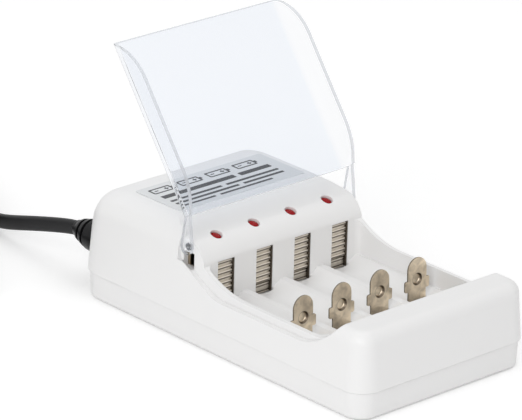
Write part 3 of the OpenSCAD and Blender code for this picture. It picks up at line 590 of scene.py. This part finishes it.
def make_finishes():
    """Build the shared groups and every material."""
    finish = bpy.context.scene.charger_finish
    lead = bpy.context.scene.charger_lead
    moulded_group()
    drawn_group()
    nickel = finish.nickel
    return {
        "shell": moulded("white_shell", finish.shell, 0.36),
        "tray": moulded("white_tray", finish.shell, 0.42, grain=1800.0, depth=0.00004),
        "lid": clear_plastic("clear_lid", finish.lid, LID_RIM),
        # Edge faces of the lid: a darker, half-clear copy of its tint, painted shade for the dark lines
        # along its edges
        "lid_edge_shade": clear_plastic("lid_edge_shade", shaded(finish.lid, 0.82), clear=0.5),
        "contact": plated("nickel_contact", nickel, 0.34, STREAKS_UP),
        "tongue": tongue_metal("nickel_tongue", shaded(nickel, 1.2), 0.26),
        # Sheared edges of the tongues: real bare edges, darkened to 0.3 of the nickel as painted shade for
        # dark outlines
        "cut": plated("nickel_cut_edge_painted_shade", shaded(nickel, 0.3), 0.4, STREAKS_SHEARED),
        "ribs": ribbed_metal("nickel_ribs", (0.72, 0.67, 0.59), 0.36),
        "spring": plated("spring_wire", (0.5, 0.5, 0.5), 0.22, STREAKS_WIRE, edge=0.0),
        "lamp": lens_red("red_lamp", finish.lamp),
        "board": moulded("circuit_board", finish.board, 0.5, drift=0.5, grain=900.0),
        "diode": moulded("diode_black", (0.02, 0.02, 0.022), 0.4),
        "resistor": moulded("resistor_lacquer", (0.55, 0.42, 0.25), 0.35, drift=0.1),
        "core": plated("core_sheet", (0.25, 0.26, 0.28), 0.4, STREAKS_STACKED),
        "winding": moulded("winding_tape", (0.62, 0.42, 0.10), 0.45, drift=0.15),
        "label": moulded("label_film", finish.label, 0.4, drift=0.05, edge=0.0),
        "ink": moulded("label_ink", finish.ink, 0.5, drift=0.3, edge=0.0),
        "screw": plated("plated_screw", (0.5, 0.5, 0.5), 0.3, STREAKS_TURNED),
        "cord": moulded(
            "black_cord", lead.colour, 0.45, drift=0.4, grain=1500.0, depth=0.00004, edge=0.0, shine=0.25
        ),
        "relief": moulded(
            "black_relief", shaded(lead.colour, 0.5), 0.3, drift=0.3, depth=0.00003, shine=0.15
        ),
        "plug": moulded("black_plug", lead.colour, 0.5, drift=0.3, grain=2600.0, depth=0.00006),
        "tie": moulded("black_tie", (0.02, 0.02, 0.02), 0.5, drift=0.3),
        "blade": plated("plated_blade", (0.72, 0.69, 0.62), 0.2, STREAKS_SHEARED),
    }


# Every finish by its name, filled by main before the first step
MATERIALS = {}


# Stage

KEY_AT, KEY_SIZE = (-1.28, -0.74, 0.72), 1.3
TOP_AT, TOP_SIZE = (0.25, 0.15, 1.4), 1.2
LAMPS_AIM = Vector((0.0, 0.0, 0.03))
FLOOR_SIZE, FLOOR_Z, FLOOR_GLOW = 12.0, -0.0002, 0.22


class CHARGER_OT_stage(bpy.types.Operator):
    """Add the camera, floor, lamps and background"""

    bl_idname = "charger.stage"
    bl_label = "Stage"

    def execute(self, context):
        stage = context.scene.charger_stage
        deselect()
        bpy.ops.object.camera_add()
        camera = named("camera")
        az, el = stage.azimuth, stage.elevation
        back = Vector((math.sin(az) * math.cos(el), -math.cos(az) * math.cos(el), math.sin(el)))
        level = Vector((math.cos(az), math.sin(az), 0.0))
        upright = back.cross(level)
        right = level * math.cos(stage.roll) + upright * math.sin(stage.roll)
        up = upright * math.cos(stage.roll) - level * math.sin(stage.roll)
        turn = Matrix((right, up, back)).transposed().to_4x4()
        camera.matrix_world = Matrix.Translation(stage.place) @ turn
        camera.data.sensor_width = 36.0
        camera.data.lens = stage.lens
        camera.data.clip_start, camera.data.clip_end = 0.05, 30.0
        context.scene.camera = camera

        deselect()
        bpy.ops.mesh.primitive_plane_add(size=FLOOR_SIZE, location=(0.0, 0.0, FLOOR_Z))
        floor = named("floor")
        settle(floor)
        material, tree, shader = principled("pale_floor")
        shader.inputs["Base Color"].default_value = (0.9, 0.9, 0.9, 1.0)
        shader.inputs["Roughness"].default_value = 0.9
        shader.inputs["Specular IOR Level"].default_value = 0.1
        shader.inputs["Emission Color"].default_value = (1.0, 1.0, 1.0, 1.0)
        tree.links.new(self.seen(tree, FLOOR_GLOW), shader.inputs["Emission Strength"])
        floor.data.materials.append(material)

        self.lamp("key_lamp", KEY_AT, stage.key, KEY_SIZE)
        self.lamp("top_lamp", TOP_AT, stage.top, TOP_SIZE)

        world = bpy.data.worlds.new("studio")
        world.use_nodes = True
        context.scene.world = world
        tree = world.node_tree
        light = tree.nodes["Background"]
        light.inputs["Color"].default_value = (1.0, 1.0, 1.0, 1.0)
        strength = math_node(tree, "MULTIPLY_ADD", self.seen(tree, 1.0), 1.0 - stage.ambient)
        strength.node.inputs[2].default_value = stage.ambient
        tree.links.new(strength, light.inputs["Strength"])
        context.scene.view_settings.view_transform = "Standard"
        return {"FINISHED"}

    def seen(self, tree, amount):
        """The amount for rays that show the background, nothing for rays that light the object."""
        path = node(tree, "ShaderNodeLightPath")
        mirror = math_node(
            tree, "MAXIMUM", path.outputs["Is Glossy Ray"], path.outputs["Is Transmission Ray"]
        )
        shown = math_node(tree, "MAXIMUM", path.outputs["Is Camera Ray"], mirror)
        return math_node(tree, "MULTIPLY", shown, amount)

    def lamp(self, name, place, power, size):
        """A square soft lamp that faces the charger."""
        deselect()
        bpy.ops.object.light_add(type="AREA", location=place)
        made = named(name)
        made.data.energy = power
        made.data.size = size
        made.rotation_euler = (LAMPS_AIM - Vector(place)).to_track_quat("-Z", "Y").to_euler()


# Mains lead

# Routes of the lead and its coil, in millimetres and degrees
CORD_ROUTE = (
    (-25, 76, 15.4), (-25, 81, 14.6), (-25, 87, 13.2), (-25, 94, 11.35), (-25, 101, 9.4),
    (-24.9, 108, 7.35), (-24.4, 115, 5.35), (-23.2, 122, 3.7), (-21.2, 129, 2.8), (-18.6, 136, 2.7),
    (-15.8, 142, 3.0),
)
LEAD_ROUTE = ((-76.3, 146, 8.4), (-75.2, 140, 8), (-73.6, 134, 7.4), (-72.4, 129, 7.1), (-72, 123, 7))
ROUTE_PARTS = 2
COIL_AT = (-44.5, 155)
COIL_START, COIL_STEP = -15.0, 10.0
LAYER_LOW, LAYER_HIGH = 3.35, 8.5
LAYER_CLIMB = 120.0

# Sides of the cord's section, and how high and wide the dip between its cores is, as shares of a core
CORD_SIDES = 16
CORD_DIP, CORD_DIP_WIDTH = 0.92, 0.3


def eased_step(share):
    """Nought below nought, one above one, and a smooth step between."""
    share = min(1.0, max(0.0, share))
    return share * share * (3.0 - 2.0 * share)


def eased(points, parts):
    """A smooth curve through the points, with each stretch cut into parts."""
    curve = []
    for i in range(len(points) - 1):
        a, b = points[max(i - 1, 0)], points[i]
        c, d = points[i + 1], points[min(i + 2, len(points) - 1)]
        for k in range(parts):
            t = k / parts
            curve.append(0.5 * (
                2 * b + (c - a) * t + (2 * a - 5 * b + 4 * c - d) * t * t + (3 * b - a - 3 * c + d) * t ** 3
            ))
    return curve + [points[-1]]


def lead_path(lead):
    """Centre line of the whole lead in millimetres: down to the coil, round it and off to the plug."""
    total = lead.coil_turns * 360.0 - COIL_START
    steps = int(total / COIL_STEP)
    outer, pitch = lead.coil_radius / MM, lead.coil_pitch / MM
    coil = []
    for i in range(steps + 1):
        angle = total * i / steps
        r = outer - pitch * min(angle, total - angle) / 360.0
        rise = eased_step((angle - total / 2 + LAYER_CLIMB / 2) / LAYER_CLIMB)
        a = math.radians(COIL_START + angle)
        coil.append(Vector((
            COIL_AT[0] + r * math.cos(a), COIL_AT[1] + r * math.sin(a),
            LAYER_LOW + (LAYER_HIGH - LAYER_LOW) * rise,
        )))
    down = eased([Vector(p) for p in CORD_ROUTE] + coil[:1], ROUTE_PARTS)
    off = eased(coil[-1:] + [Vector(p) for p in LEAD_ROUTE], ROUTE_PARTS)
    return down + coil[1:] + off[1:]


# Grooves round the strain relief: where each starts and ends behind its mouth, and the radius left
RELIEF_GROOVES = ((0.0034, 0.0047, 0.0030), (0.0063, 0.0078, 0.0035))
GROOVE_SLOPE = 0.0002

# How far the band's outer and inner walls are drawn in to the coil, and how round its corners and edges are
TIE_DRAW_OUTER, TIE_DRAW_INNER = 0.0009, 0.0004
TIE_CORNER, TIE_EDGE = 0.0012, 0.00015
TIE_EDGE_TURN = math.radians(60.0)
TIE_MERGE = 0.000005

# How round the plug's edges are
PLUG_EDGE = 0.0016


class CHARGER_OT_lead(bpy.types.Operator):
    """Add the flat twin cord with its stored coil, strain relief, tie and plug"""

    bl_idname = "charger.lead"
    bl_label = "Mains lead"

    def execute(self, context):
        lead = context.scene.charger_lead
        cord, path = self.cord(lead)
        finish_with(
            cord, MATERIALS["cord"], "housing", ("mains_cord", "cord_coil", "plug_lead")
        )
        relief = self.relief()
        finish_with(relief, MATERIALS["relief"], "housing", ("strain_relief",))
        plug = self.plug()
        finish_with(plug, MATERIALS["plug"], "housing", ("plug_body",))
        blades = coat("plug_blades", MATERIALS["blade"])
        tie = self.tie()
        finish_with(tie, MATERIALS["tie"], "housing", ("coil_tie",))
        return {"FINISHED"}

    def cord(self, lead):
        """A flat twin cord on edge: two round cores with a shallow groove between them."""
        path = [p * MM for p in lead_path(lead)]
        sides = CORD_SIDES
        core = lead.thickness / 2
        apart = lead.width / 2 - core
        ring = []
        for k in range(sides):
            a = 2 * math.pi * (k + 0.5) / sides
            x = core * math.cos(a)
            z = core * math.sin(a)
            dip = CORD_DIP if abs(x) < CORD_DIP_WIDTH * core else 1.0
            ring.append((x + math.copysign(apart, x), z * dip))
        vertices, faces = [], []
        for i, p in enumerate(path):
            ahead = (path[min(i + 1, len(path) - 1)] - path[max(i - 1, 0)]).normalized()
            side = ahead.cross(Vector((0.0, 0.0, 1.0))).normalized()
            over = side.cross(ahead)
            vertices += [p + over * u - side * v for u, v in ring]
        for i in range(len(path) - 1):
            for k in range(sides):
                m = (k + 1) % sides
                faces.append((i * sides + k, i * sides + m, (i + 1) * sides + m, (i + 1) * sides + k))
        faces.append(tuple(range(sides)))
        faces.append(tuple((len(path) - 1) * sides + k for k in reversed(range(sides))))
        mesh = bpy.data.meshes.new("mains_lead")
        mesh.from_pydata(vertices, [], faces)
        cord = new_piece("mains_lead", mesh)
        shape(cord, face_outwards)
        smooth(cord, 60.0)
        return cord, path

    def relief(self):
        """Strain relief: flange in the shell's outlet and a short bell with two grooves."""
        piece = copy_of("strain_relief", "relief_boot")
        low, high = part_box("strain_relief")
        axis = (low + high) / 2

        def grooves(mesh):
            for start, end, radius in RELIEF_GROOVES:
                for place in (start, start + GROOVE_SLOPE, end - GROOVE_SLOPE, end):
                    bpy.ops.mesh.select_all(action="SELECT")
                    bpy.ops.mesh.bisect(plane_co=(0.0, high.y - place, 0.0), plane_no=(0.0, 1.0, 0.0))
                for vertex in mesh.verts:
                    depth = high.y - vertex.co.y
                    away = math.hypot(vertex.co.x - axis.x, vertex.co.z - axis.z)
                    if start + GROOVE_SLOPE / 2 < depth < end - GROOVE_SLOPE / 2 and away > radius:
                        vertex.co.x = axis.x + (vertex.co.x - axis.x) * radius / away
                        vertex.co.z = axis.z + (vertex.co.z - axis.z) * radius / away

        shape(piece, grooves)
        smooth(piece, 30.0)
        return piece

    def plug(self):
        """Moulded plug with soft edges."""
        piece = copy_of("plug_body", "plug_grip")

        def soften(mesh):
            join_flat_faces()
            bpy.ops.mesh.select_all(action="SELECT")
            bpy.ops.mesh.bevel(offset=PLUG_EDGE, segments=4, affect="EDGES", clamp_overlap=True)

        shape(piece, soften)
        smooth(piece, 40.0)
        return piece

    def tie(self):
        """Band drawn in to the coil, with round corners and soft edges."""
        piece = copy_of("coil_tie", "coil_band")
        low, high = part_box("coil_tie")
        middle = (low.y + high.y) / 2
        half_length = (high.x - low.x) / 2

        def soften(mesh):
            join_flat_faces()
            for vertex in mesh.verts:
                vertex.co.y += -TIE_DRAW_OUTER if vertex.co.y > middle else TIE_DRAW_INNER
            select_edges(mesh, lambda edge: abs(edge.verts[0].co.x - edge.verts[1].co.x) > half_length)
            bpy.ops.mesh.bevel(offset=TIE_CORNER, segments=4, affect="EDGES", clamp_overlap=True)
            select_edges(mesh, lambda edge: edge.calc_face_angle(0.0) > TIE_EDGE_TURN)
            bpy.ops.mesh.bevel(offset=TIE_EDGE, segments=2, affect="EDGES", clamp_overlap=True)
            bpy.ops.mesh.select_all(action="SELECT")
            bpy.ops.mesh.remove_doubles(threshold=TIE_MERGE)

        shape(piece, soften)
        smooth(piece, 40.0)
        return piece


# Shells

# Crown of the block: where its top starts to fall, how far, and between which heights its rear follows
CROWN_START, CROWN_DROP = 0.0485, 0.0055
CROWN_LOW, CROWN_HIGH = 0.0215, 0.032

# Cuts that let the crown bend, along and up, and how far before it the first ones reach
CROWN_RUN_CUTS, CROWN_RISE_CUTS = 10, 6
CROWN_MARGIN = 0.02


class CHARGER_OT_shells(bpy.types.Operator):
    """Finish the two moulded shells and the screws"""

    bl_idname = "charger.shells"
    bl_label = "Shells"

    def execute(self, context):
        cover = copy_of("top_cover", "upper_shell")
        shape(cover, self.crown)
        smooth(cover, 25.0)
        finish_with(cover, MATERIALS["shell"], "housing", ("top_cover",))
        tray = copy_of("base_tray", "lower_tray")
        smooth(tray, 25.0)
        finish_with(tray, MATERIALS["tray"], "housing", ("base_tray",))
        coat("housing_screws", MATERIALS["screw"])
        return {"FINISHED"}

    def crown(self, mesh):
        """Let the block's top fall away gently towards the back."""
        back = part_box("top_cover")[1].y
        length, height = back - CROWN_START, CROWN_HIGH - CROWN_LOW
        for step in range(1, CROWN_RUN_CUTS + 1):
            select_faces(mesh, lambda face: face.calc_center_median().y > CROWN_START - CROWN_MARGIN)
            place = (0.0, CROWN_START + length * step / (CROWN_RUN_CUTS + 1), 0.0)
            bpy.ops.mesh.bisect(plane_co=place, plane_no=(0.0, 1.0, 0.0))
        for step in range(CROWN_RISE_CUTS):
            select_faces(mesh, lambda face: face.calc_center_median().y > CROWN_START)
            place = (0.0, 0.0, CROWN_LOW + height * step / CROWN_RISE_CUTS)
            bpy.ops.mesh.bisect(plane_co=place, plane_no=(0.0, 0.0, 1.0))
        for vertex in mesh.verts:
            run = max(0.0, (vertex.co.y - CROWN_START) / length)
            vertex.co.z -= CROWN_DROP * run * run * eased_step((vertex.co.z - CROWN_LOW) / height)


# Lid

# Angle of the open lid, where its sides start, and how square a face stands to count as panel or as edge
LID_OPEN = math.radians(126.6)
LID_SIDE = 0.033
PANEL_SQUARE, EDGE_SQUARE = 0.99, 0.05


class CHARGER_OT_lid(bpy.types.Operator):
    """Finish the clear hinged lid"""

    bl_idname = "charger.lid"
    bl_label = "Lid"

    def execute(self, context):
        lid = copy_of("clear_lid", "lid_shell")
        smooth(lid, 25.0)
        finish_with(lid, MATERIALS["lid"], "lid", ("clear_lid",))
        # The edge faces get the darker finish, painted shade along the lid's edges
        lid.data.materials.append(MATERIALS["lid_edge_shade"])
        shut = Matrix.Rotation(LID_OPEN, 3, "X")
        for face in lid.data.polygons:
            normal = shut @ face.normal
            panel = abs(normal.z) > PANEL_SQUARE and abs(face.center.x) < LID_SIDE
            if abs(normal.x) < EDGE_SQUARE and not panel:
                face.material_index = 1
        return {"FINISHED"}


# Contacts and lamps

# Faces of a tongue that turn less than this to the front or back are its cut edges; they take a much darker
# copy of the nickel, painted shade on the sheared edges
CUT_TURN = 0.2


class CHARGER_OT_contacts(bpy.types.Operator):
    """Finish the fixed and sliding contacts and their return springs"""

    bl_idname = "charger.contacts"
    bl_label = "Contacts"

    def execute(self, context):
        for lane in LANES:
            fixed = copy_of(f"ribbed_contact_{lane}", f"fixed_contact_{lane}")
            smooth(fixed, 30.0)
            finish_with(fixed, MATERIALS["ribs"], "housing", (f"ribbed_contact_{lane}",))
            tongue = copy_of(f"sliding_contact_{lane}", f"contact_tongue_{lane}")
            smooth(tongue, 30.0)
            finish_with(
                tongue, MATERIALS["tongue"], f"contact_{lane}", (f"sliding_contact_{lane}",)
            )
            tongue.data.materials.append(MATERIALS["cut"])
            for face in tongue.data.polygons:
                if abs(face.normal.y) < CUT_TURN:
                    face.material_index = 1
            spring = copy_of(f"contact_spring_{lane}", f"return_spring_{lane}")
            smooth(spring, 70.0)
            finish_with(spring, MATERIALS["spring"], "housing", (f"contact_spring_{lane}",))
            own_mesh(spring)
        return {"FINISHED"}


class CHARGER_OT_lamps(bpy.types.Operator):
    """Finish the four charging lamps"""

    bl_idname = "charger.lamps"
    bl_label = "Lamps"

    def execute(self, context):
        for lane in LANES:
            lamp = copy_of(f"lamp_{lane}", f"charge_lamp_{lane}")
            smooth(lamp, 30.0)
            finish_with(lamp, MATERIALS["lamp"], "housing", (f"lamp_{lane}",))
        return {"FINISHED"}


# Label, in millimetres from its front left corner

# Printed bars as x, y, width and height, and battery signs as x and y
BARS = (
    (3.0, 10.6, 30.0, 2.3), (35.0, 10.6, 13.0, 2.3),
    (3.0, 7.2, 21.0, 1.2), (26.0, 7.2, 22.0, 1.2),
    (3.0, 4.6, 26.0, 1.2), (31.0, 4.6, 17.0, 1.2),
    (3.0, 2.2, 14.0, 1.0), (19.0, 2.2, 22.0, 1.0),
)
BAR_CORNER = 0.25
CELLS = ((3.0, 15.2), (14.6, 15.2), (26.2, 15.2), (37.8, 15.2))
CELL_WIDE, CELL_HIGH, CELL_LINE, CELL_CORNER = 8.4, 3.9, 0.65, 0.5

# A sign's button, minus and plus as x, y from the middle height, width, height and corner
CELL_MARKS = (
    (CELL_WIDE, -0.7, 0.8, 1.4, 0.2),
    (1.4, -0.25, 1.5, 0.5, 0.1),
    (5.4, -0.25, 1.7, 0.5, 0.1), (6.0, 0.25, 0.5, 0.6, 0.1), (6.0, -0.85, 0.5, 0.6, 0.1),
)
INK_THICK = 0.03
FILM_CORNER = 0.6


class CHARGER_OT_label(bpy.types.Operator):
    """Finish the label on the block: soft-cornered film with plain bars and battery signs in ink"""

    bl_idname = "charger.label"
    bl_label = "Label"

    def execute(self, context):
        film = copy_of("top_label", "label_film")
        low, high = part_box("top_label")
        half_thick = (high.z - low.z) / 2

        def round_corners(mesh):
            join_flat_faces()
            select_edges(mesh, lambda edge: abs(edge.verts[0].co.z - edge.verts[1].co.z) > half_thick)
            bpy.ops.mesh.bevel(offset=FILM_CORNER * MM, segments=4, affect="EDGES")

        shape(film, round_corners)
        smooth(film, 30.0)
        finish_with(film, MATERIALS["label"], "housing", ("top_label",))

        origin = Vector((low.x, low.y, high.z))
        deselect()
        bpy.ops.object.add(type="MESH", location=(0.0, 0.0, 0.0))
        marks = named("label_marks")

        def print_marks(mesh):
            for x, y, width, height in BARS:
                self.patch(origin, x, y, width, height, BAR_CORNER)
            for x, y in CELLS:
                self.cell(origin, x, y)
            bpy.ops.mesh.select_all(action="SELECT")
            rise = (0.0, 0.0, INK_THICK * MM)
            bpy.ops.mesh.extrude_region_move(TRANSFORM_OT_translate={"value": rise})
            face_outwards(mesh)

        shape(marks, print_marks)
        finish_with(marks, MATERIALS["ink"], "housing")
        return {"FINISHED"}

    def patch(self, origin, x, y, width, height, corner):
        """One flat printed patch with round corners."""
        bpy.ops.mesh.select_all(action="DESELECT")
        middle = origin + Vector(((x + width / 2) * MM, (y + height / 2) * MM, 0.0))
        bpy.ops.mesh.primitive_plane_add(size=MM, location=middle)
        bpy.ops.transform.resize(value=(width, height, 1.0), center_override=middle)
        bpy.ops.mesh.bevel(offset=corner * MM, segments=3, affect="VERTICES")

    def cell(self, origin, x, y):
        """Sign of one battery: frame, button, and a plus and a minus inside."""
        self.patch(origin, x, y, CELL_WIDE, CELL_HIGH, CELL_CORNER)
        bpy.ops.mesh.select_linked()
        bpy.ops.mesh.inset(thickness=CELL_LINE * MM)
        bpy.ops.mesh.delete(type="FACE")
        for along, up, width, height, corner in CELL_MARKS:
            self.patch(origin, x + along, y + CELL_HIGH / 2 + up, width, height, corner)


# Inside

# The tags' strips stand this far back beyond their roots, so that the windows show a dark gap before them
TAG_ROOT, TAG_SET_BACK = 0.001, 0.0015


class CHARGER_OT_inside(bpy.types.Operator):
    """Finish the board, its tags and components, and the transformer"""

    bl_idname = "charger.inside"
    bl_label = "Inside"

    def execute(self, context):
        coat("circuit_board", MATERIALS["board"])
        tags = copy_of("supply_tags", "tag_strips")
        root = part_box("supply_tags")[0].y + TAG_ROOT

        def set_back(mesh):
            for vertex in mesh.verts:
                if vertex.co.y > root:
                    vertex.co.y += TAG_SET_BACK

        shape(tags, set_back)
        finish_with(tags, MATERIALS["contact"], "housing", ("supply_tags",))
        coat("rectifier_diodes", MATERIALS["diode"])
        coat("charge_resistors", MATERIALS["resistor"])
        coat("transformer_core", MATERIALS["core"])
        coat("transformer_winding", MATERIALS["winding"])
        return {"FINISHED"}


# Add-on

STEPS = (
    CHARGER_OT_stage,
    CHARGER_OT_lead,
    CHARGER_OT_shells,
    CHARGER_OT_lid,
    CHARGER_OT_contacts,
    CHARGER_OT_lamps,
    CHARGER_OT_label,
    CHARGER_OT_inside,
)


class CHARGER_PT_panel(bpy.types.Panel):
    """Settings and steps of the charger"""

    bl_label = "Battery Charger"
    bl_idname = "CHARGER_PT_panel"
    bl_space_type = "VIEW_3D"
    bl_region_type = "UI"
    bl_category = "Charger"

    def draw(self, context):
        for settings in ("charger_finish", "charger_lead", "charger_stage"):
            box = self.layout.box()
            values = getattr(context.scene, settings)
            for key in values.__annotations__:
                box.prop(values, key)
        for step in STEPS:
            self.layout.operator(step.bl_idname)


SETTINGS = (
    ("charger_lead", ChargerLead),
    ("charger_finish", ChargerFinish),
    ("charger_stage", ChargerStage),
)


def register():
    """Add the settings, steps and panel."""
    for name, settings in SETTINGS:
        bpy.utils.register_class(settings)
        setattr(bpy.types.Scene, name, bpy.props.PointerProperty(type=settings))
    for step in STEPS:
        bpy.utils.register_class(step)
    bpy.utils.register_class(CHARGER_PT_panel)


def unregister():
    """Take the panel, steps and settings away."""
    bpy.utils.unregister_class(CHARGER_PT_panel)
    for step in reversed(STEPS):
        bpy.utils.unregister_class(step)
    for name, settings in reversed(SETTINGS):
        delattr(bpy.types.Scene, name)
        bpy.utils.unregister_class(settings)


def main():
    """Make the finishes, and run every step."""
    register()
    MATERIALS.update(make_finishes())
    for step in STEPS:
        family, name = step.bl_idname.split(".")
        getattr(getattr(bpy.ops, family), name)()
    deselect()


if __name__ == "__main__":
    main()
